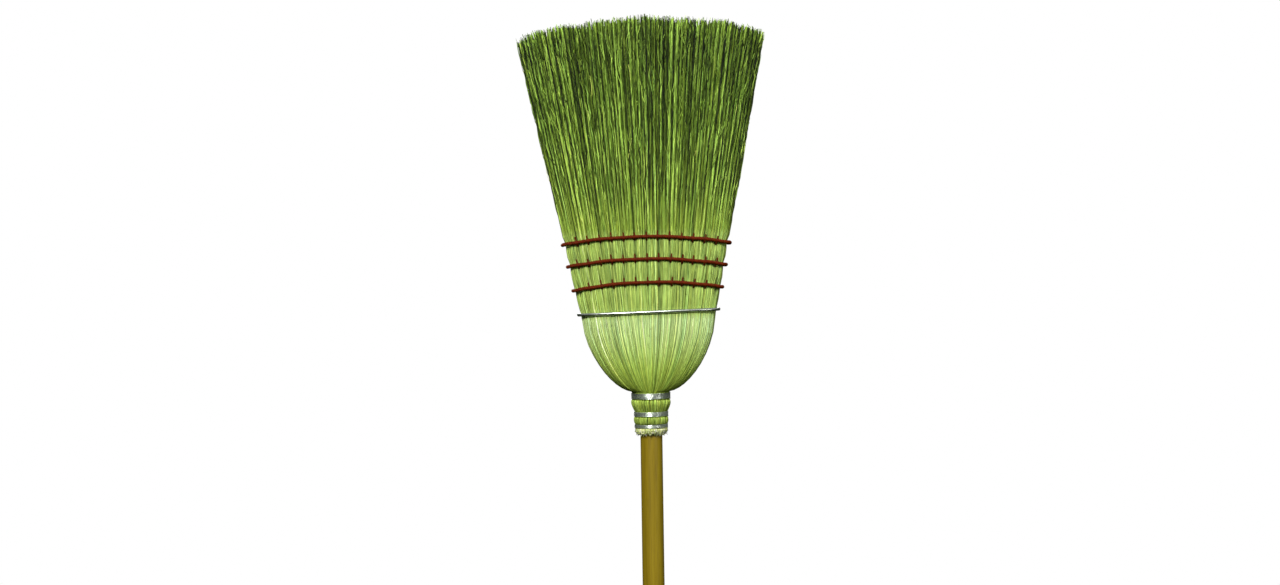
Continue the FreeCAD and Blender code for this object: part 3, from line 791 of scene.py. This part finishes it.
def neck_straws(strands, rng, first, last, count):
    """The stalks of the neck, from their ragged cut butts up to the top wire band."""
    angle = np.radians(first + (last - first) * (np.arange(count) + rng.uniform(0, 1, count)) / count)
    depth = 1 - 0.10 * rng.uniform(0, 1, count) ** 1.4
    heights, _ = NECK
    levels = np.unique(np.concatenate([heights[1:], np.linspace(heights[1], SHOULDER_Z, 26)]))
    levels = levels[levels < SHOULDER_Z - 1 * MM]
    foot = BUTTS_Z + rng.uniform(1, 7, count) * MM
    z = np.concatenate([foot[:, None], np.repeat(levels[None, :], count, 0)], axis=1)
    z[:, 1:] = np.maximum(z[:, 1:], z[:, :1] + 0.3 * MM * np.arange(1, z.shape[1])[None, :])
    z = np.minimum(z, SHOULDER_Z - 1 * MM + 0.01 * MM * np.arange(z.shape[1])[None, :])
    slant = rng.normal(0, 0.05, (count, 1))
    slant = slant * np.sin((z - BUTTS_Z) / (9 * MM) + rng.uniform(0, 6, (count, 1)))
    points = head_point(angle[:, None] + slant, depth[:, None], z, stitched=False)
    fray = np.clip((BUTTS_Z + 9 * MM - z) / (9 * MM), 0, 1) ** 1.5
    points[..., 0] += fray * rng.normal(0, 0.8 * MM, (count, 1))
    points[..., 1] += fray * rng.normal(0, 0.8 * MM, (count, 1))
    widths = rng.uniform(0.8, 1.4, (count, 1)) * MM * (1 - 0.25 * fray)
    # Painted shade: the stalks that lie deeper in the neck are darker.
    dark = 0.5 + 0.5 * np.clip((depth[:, None] - 0.9) / 0.07, 0, 1) + 0 * z
    # Painted light and shade: each bulge is paler at its top, where the stalks bend out from under the
    # wire, and darker lower down.
    floors = [BUTTS_Z] + [high.z for low, high in BANDS[:2]]
    for floor, (low, high) in zip(floors, BANDS):
        climb = (z - floor) / (low.z - floor)
        inside = (climb > 0) & (climb < 1.05)
        dark = np.where(inside, dark * (0.92 + 0.34 * np.clip(climb, 0, 1) ** 2), dark)
    strands.add(points, widths, straw_colours(points, rng, dark), rng, shelf=0.4)


def butt_chaff(strands, rng, first, last, count):
    """Short split ends that stick out round the cut butts."""
    angle = np.radians(rng.uniform(first, last, count))
    foot_z = BUTTS_Z + rng.uniform(2.5, 10, count) * MM
    radius = half_width(foot_z) * rng.uniform(0.88, 1.0, count)
    foot = np.stack([np.cos(angle) * radius, np.sin(angle) * radius, foot_z], axis=1)
    turn = rng.normal(0, 0.9, count)
    drop = rng.uniform(-1.0, 0.25, count)
    way = np.stack([
        np.cos(angle) * 0.35 - np.sin(angle) * turn * 0.5,
        np.sin(angle) * 0.35 + np.cos(angle) * turn * 0.5,
        drop], axis=1)
    way /= np.linalg.norm(way, axis=1, keepdims=True)
    length = rng.uniform(1.5, 4.5, count) * MM
    t = np.linspace(0, 1, 4)[None, :, None]
    bend = rng.normal(0, 0.3, (count, 1, 3))
    points = foot[:, None, :] + length[:, None, None] * (way[:, None, :] * t + bend * t * (1 - t))
    widths = rng.uniform(0.6, 1.2, (count, 1)) * MM * np.array([1, 0.9, 0.8, 0.55])[None, :]
    colours = straw_colours(points, rng) * rng.uniform(0.7, 1.15, (count, 1, 1))
    strands.add(points, widths, np.clip(colours, 0, 0.92), rng, shelf=0.08)


# Where the bunches lie round the handle, in degrees from +X: a first angle, or both.
COVER_SECTORS = {
    "back_right": 0, "back_centre": 60, "back_left": 120,
    "front_left": 180, "front_centre": 240, "front_right": 300,
}
INNER_SECTORS = {
    "inside_corn_back": (50, 130), "shoulder_corn_left": (130, 230),
    "inside_corn_front": (230, 310), "shoulder_corn_right": (-50, 50),
}


def make_cover(material):
    """The six outer bunches that show, each with its loose sweep as a piece of its own."""
    for number, (place, first) in enumerate(COVER_SECTORS.items()):
        rng = rng_for(number)
        last = first + 60
        strands = Strands()
        cover_straws(strands, rng, first, last, count=440)
        neck_straws(strands, rng, first, last, count=84)
        butt_chaff(strands, rng, first, last, count=60)
        piece = strands.build("straw_cover_" + place, material)
        settle(piece, "broomcorn", "cover_corn_" + place)
        strands = Strands()
        outer, colours = sweep_straws(
            strands, rng, first, last, count=540, shallow=1.0, deep=0.92, lowest=1.10, bends=26)
        branchlets(strands, rng, outer, colours, count=800)
        sweep_straws(
            strands, rng, first, last, count=380, shallow=0.92, deep=0.78, lowest=1.08, bends=13)
        piece = strands.build("straw_sweep_" + place, material)
        settle(piece, "broomcorn", "cover_corn_" + place)


def make_inner(material):
    """The straw inside the sweep, seen at the tips and through the gaps."""
    for number, (name, (first, last)) in enumerate(INNER_SECTORS.items()):
        rng = rng_for(20 + number)
        strands = Strands()
        sweep, colours = sweep_straws(
            strands, rng, first, last, count=1000, shallow=0.80, deep=0.08, lowest=1.12, bends=12)
        branchlets(strands, rng, sweep, colours, count=900)
        piece = strands.build("straw_" + name, material)
        settle(piece, "broomcorn", name)


def make_core(material):
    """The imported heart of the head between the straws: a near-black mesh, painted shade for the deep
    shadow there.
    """
    rng = rng_for(40)
    around = 96
    levels = np.concatenate([
        np.linspace(BUTTS_Z + 5 * MM, SHOULDER_Z, 14),
        SHOULDER_Z + (BOWL_TOP_Z - SHOULDER_Z) * np.linspace(0, 1, 12)[1:] ** 1.9,
        np.linspace(BOWL_TOP_Z, CORE_TOP_Z, 26)[1:]])
    angle = np.linspace(0, 2 * math.pi, around, endpoint=False)
    ridge = 1 - 0.03 * rng.uniform(0, 1, around)
    size = np.interp(levels, *CORE_TAPER)
    points = head_point(angle[None, :], ridge[None, :] * size[:, None], levels[:, None] + 0 * angle)
    # Painted shade: the core is a near-black copy of the stitched green.
    colours = np.ones(points.shape) * STITCH_GREEN * 0.16
    count = len(levels)
    verts = points.reshape(-1, 3)
    faces = [list(range(around))[::-1], [(count - 1) * around + i for i in range(around)]]
    for here in range(0, (count - 1) * around, around):
        above = here + around
        for i in range(around):
            j = (i + 1) % around
            faces.append([here + i, here + j, above + j, above + i])
    mesh = bpy.data.meshes.new("straw_core_painted_shade")
    mesh.from_pydata(verts.tolist(), [], faces)
    paint(mesh, colours.reshape(-1, 3))
    mesh.materials.append(material)
    piece = add_object("straw_core_painted_shade", mesh)
    settle(piece, "broomcorn", "inside_corn_front", "inside_corn_back")


# --- Wire and twine -------------------------------------------------------------------

def tube_batch(strands, path, radius, rng, sides=8, tone=1.0, off=(0, 0, 1)):
    """One round tube along a path (k, 3)."""
    widths = np.full((1, len(path)), radius * 2)
    colours = np.ones((1, len(path), 3)) * tone
    strands.add(path[None], widths, colours, rng, sides=sides, off=np.array(off, float))


def loop_path(height, clearance, slack, count, pinched):
    """Points of a closed loop on the head's surface, which meets at the back's middle.
    height is a function of x. The loop stands off by slack at the head's two edges."""
    angle = np.linspace(math.pi / 2, 2.5 * math.pi, count)
    z = np.full(count, float(height(0.0)))
    for _ in range(4):
        power = oval_power(z)
        x = np.sign(np.cos(angle)) * np.abs(np.cos(angle)) ** (2 / power) * (half_width(z) + clearance)
        z = height(x)
    thick = half_thickness(z) + clearance - pinched
    y = np.sign(np.sin(angle)) * np.abs(np.sin(angle)) ** (2 / power) * thick
    x = x + np.sign(x) * slack * (np.abs(x) / half_width(z)) ** 8
    return np.stack([x + centre_x(z), y, z], axis=-1)


def twisted(strands, path, plies, rng):
    """Plies of twine twisted round a path, each a little paler than the last."""
    steps = np.linalg.norm(np.diff(path, axis=0), axis=1)
    along = np.concatenate([[0], np.cumsum(steps)])
    ahead = np.gradient(path, axis=0)
    ahead /= np.linalg.norm(ahead, axis=1, keepdims=True)
    first = np.cross(ahead, [0, 0, 1.0])
    first /= np.linalg.norm(first, axis=1, keepdims=True) + 1e-9
    second = np.cross(ahead, first)
    for ply in range(plies):
        turn = 2 * math.pi * (along / TWINE_PITCH + ply / plies)
        offset = np.cos(turn)[:, None] * first + np.sin(turn)[:, None] * second
        wobble = 1 + 0.06 * np.sin(along / (7 * MM) + ply)
        line = path + offset * (TWINE_PLY_RADIUS * 0.95 * wobble)[:, None]
        tube_batch(strands, line, TWINE_PLY_RADIUS, rng, sides=6, tone=0.85 + 0.15 * ply)


def surface_y(x, z):
    """Distance of the stitched surface from the middle plane."""
    power = oval_power(z)
    inside = np.clip(1 - np.abs(x / half_width(z)) ** power, 0.02, 1)
    return half_thickness(z) * inside ** (1 / power) - PINCH_DEPTH


def make_stitch_row(row, material):
    """A twisted strand round the head, with stitches over it on both faces."""
    rng = rng_for(60 + row)
    strands = Strands()
    path = loop_path(
        lambda x: row_z(row, x), clearance=2.3 * MM, slack=0.8 * MM, count=560,
        pinched=PINCH_DEPTH * 0.5)
    path[:, 2] += 0.25 * MM * np.sin(np.linspace(0, 60, len(path)) + row)
    twisted(strands, path, plies=3, rng=rng)
    reach = int((half_width(np.float64(ROW_Z[row])) - 9 * MM) / STITCH_SPACING)
    for side in (-1, 1):
        for i in range(-reach, reach + 1):
            x = i * STITCH_SPACING + rng.normal(0, 0.7 * MM)
            z = float(row_z(row, x))
            fan = x / (z - SHOULDER_Z + FAN_START)
            up = STITCH_UP + rng.uniform(-0.8, 1.4) * MM
            down = STITCH_DOWN + rng.uniform(-0.8, 1.0) * MM
            t = np.linspace(-1, 1, 13)
            rise = np.where(t > 0, t * up, t * down)
            lift = STITCH_LIFT * np.cos(t * math.pi / 2) ** 0.7
            y = side * (surface_y(x, z) - STITCH_SINK + lift)
            bow = np.stack([x + fan * rise + float(centre_x(z)), y, z + rise], axis=-1)
            tube_batch(strands, bow, STITCH_RADIUS, rng, sides=7, tone=0.7, off=(1, 0, 0))
    piece = strands.build("sewn_" + ROW_NAMES[row], material)
    settle(piece, "stitch_twine", ROW_NAMES[row])


def make_hoop(material):
    """The wire hoop, a smooth round wire a little proud at the head's two edges."""
    rng = rng_for(70)
    strands = Strands()
    path = loop_path(
        lambda x: HOOP_Z + HOOP_TILT * x, clearance=HOOP_WIRE_RADIUS, slack=1.0 * MM, count=360,
        pinched=0.8 * MM)
    tube_batch(strands, path, HOOP_WIRE_RADIUS, rng, sides=16)
    piece = strands.build("hoop_of_wire", material)
    settle(piece, "galvanised_wire", "wire_hoop")


def make_neck_wires(material):
    """Close-wound turns of wire, each band one continuous wire."""
    names = ("neck_wire_lower", "neck_wire_middle", "neck_wire_upper", "inner_binding_wire")
    for number, name in enumerate(names):
        rng = rng_for(80 + number)
        low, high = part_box(name)
        rise = high.z - low.z - 2 * NECK_WIRE_RADIUS
        turns = round(rise / NECK_WIRE_PITCH)
        t = np.linspace(0, 1, turns * 96 + 1)
        turn = 2 * math.pi * turns * t
        out = high.x - NECK_WIRE_RADIUS + 0.05 * MM * np.sin(turn * 0.37 + number)
        z = low.z + NECK_WIRE_RADIUS + rise * t
        path = np.stack([np.cos(turn) * out, np.sin(turn) * out, z], axis=-1)
        strands = Strands()
        tube_batch(strands, path, NECK_WIRE_RADIUS, rng, sides=12)
        piece = strands.build("coil_" + name, material)
        settle(piece, "galvanised_wire", name)


# --- Light, floor and camera ----------------------------------------------------------

def make_world():
    """White all round for the camera; softer light from above than from below."""
    world = bpy.data.worlds.new("studio")
    bpy.context.scene.world = world
    world.use_nodes = True
    tree = world.node_tree
    tree.nodes.clear()
    place = node(tree, "ShaderNodeTexCoord")
    split = node(tree, "ShaderNodeSeparateXYZ")
    tree.links.new(place.outputs["Generated"], split.inputs["Vector"])
    height = node(tree, "ShaderNodeMapRange")
    height.inputs["From Min"].default_value = -1
    tree.links.new(split.outputs["Z"], height.inputs["Value"])
    glow = ramp(tree, height.outputs["Result"], (
        (0.3, (0.02, 0.03, 0.01)), (0.5, (0.08, 0.09, 0.07)), (0.7, (0.40, 0.41, 0.42)),
        (0.9, (0.80, 0.81, 0.83))))
    light = node(tree, "ShaderNodeBackground", Strength=0.8)
    tree.links.new(glow.outputs["Color"], light.inputs["Color"])
    white = node(tree, "ShaderNodeBackground", Color=(1, 1, 1, 1), Strength=1.0)
    seen = node(tree, "ShaderNodeLightPath")
    mix = node(tree, "ShaderNodeMixShader")
    out = node(tree, "ShaderNodeOutputWorld")
    tree.links.new(seen.outputs["Is Camera Ray"], mix.inputs["Fac"])
    tree.links.new(light.outputs["Background"], mix.inputs[1])
    tree.links.new(white.outputs["Background"], mix.inputs[2])
    tree.links.new(mix.outputs["Shader"], out.inputs["Surface"])


def add_light(name, place, size, power):
    """A soft square light aimed at the middle of the head."""
    lamp = bpy.data.lights.new(name, "AREA")
    lamp.size = size
    lamp.energy = power
    thing = add_object(name, lamp)
    thing.location = place
    aim = Vector(LIGHT_TARGET) - Vector(place)
    thing.rotation_euler = aim.to_track_quat("-Z", "Y").to_euler()


def make_lights():
    """A broad key beside the camera, a weaker fill and a soft light behind."""
    for name, place, size, power in LIGHTS:
        add_light(name, place, size, power)


def make_floor():
    """A plain pale floor. It gives the broom no light of its own."""
    mesh = bpy.data.meshes.new("floor")
    angle = np.linspace(0, 2 * math.pi, 96, endpoint=False)
    rim = np.stack([FLOOR_RADIUS * np.cos(angle), FLOOR_RADIUS * np.sin(angle), 0 * angle], axis=1)
    mesh.from_pydata(rim.tolist(), [], [list(range(len(rim)))])
    material, _, shader = new_material("pale_floor", 0.8)
    shader.inputs["Base Color"].default_value = (0.48, 0.48, 0.48, 1)
    shader.inputs["Specular IOR Level"].default_value = 0.0
    mesh.materials.append(material)
    floor = add_object("floor", mesh)
    floor.visible_diffuse = False
    floor.visible_glossy = False


def make_camera():
    """Level, straight in front of the head, and rolled by a fraction of a degree."""
    lens = bpy.data.cameras.new("camera")
    lens.sensor_width = SENSOR_WIDTH
    lens.lens = SENSOR_WIDTH * CAMERA_DISTANCE / FRAME_WIDTH
    camera = add_object("camera", lens)
    turn = Matrix.Rotation(math.radians(90), 4, "X") @ Matrix.Rotation(-CAMERA_ROLL, 4, "Z")
    camera.matrix_world = Matrix.Translation((CAMERA_X, -CAMERA_DISTANCE, CAMERA_Z)) @ turn
    bpy.context.scene.camera = camera


# --- Making the broom -----------------------------------------------------------------

def make_broom():
    """Every visible piece, with its material."""
    straw = straw_material()
    wire = wire_material("neck_wire", 1.0)
    twine = twine_material()
    make_cover(straw)
    make_inner(straw)
    make_core(straw)
    for row in range(len(ROW_NAMES)):
        make_stitch_row(row, twine)
    # Painted shade: the hoop's wire is a darker copy of the neck wire.
    make_hoop(wire_material("hoop_wire_painted_shade", 0.7))
    make_neck_wires(wire)
    for name, material in (("handle", handle_material()), ("wire_nails", wire)):
        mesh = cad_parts[name].data
        mesh.materials.clear()
        mesh.materials.append(material)


make_camera()
make_world()
make_lights()
make_floor()
make_broom()
bpy.context.scene.view_settings.view_transform = "Standard"
